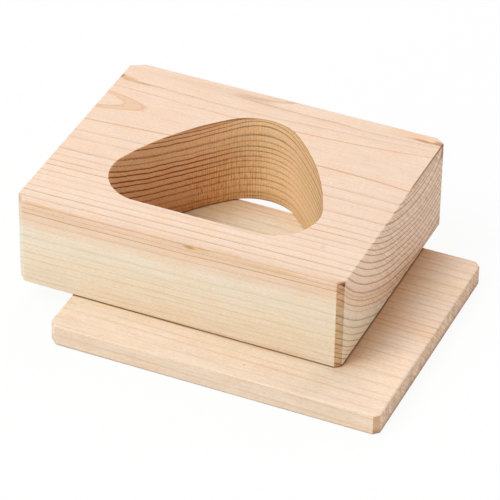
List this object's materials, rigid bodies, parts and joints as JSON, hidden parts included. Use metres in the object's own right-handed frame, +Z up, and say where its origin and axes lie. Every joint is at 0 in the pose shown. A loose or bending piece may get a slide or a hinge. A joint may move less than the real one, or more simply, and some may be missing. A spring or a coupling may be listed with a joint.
{
  "type": "rice ball mold",
  "caption": "Thick softwood block with a rounded triangular through opening for shaping a rice ball, standing askew on a loose thin board that closes the opening from below.",
  "frame": {"origin": "centre of the base board's underside, where the mold rests", "axes": "+X along the grain and the long sides, +Y from the opening's flat side to its apex, +Z up"},
  "size_m": [0.2359, 0.1868, 0.071],
  "materials": {
    "block_wood": "planed bare softwood",
    "board_wood": "planed bare softwood"
  },
  "bodies": {
    "base_board": {"base_board": "board_wood"},
    "mold_block": {"mold_block": "block_wood"}
  },
  "joints": [
    {"name": "block_lift", "type": "slide", "parent": "base_board", "child": "mold_block", "axis": [0, 0, 1], "range_m": [0, 0.08]}
  ]
}
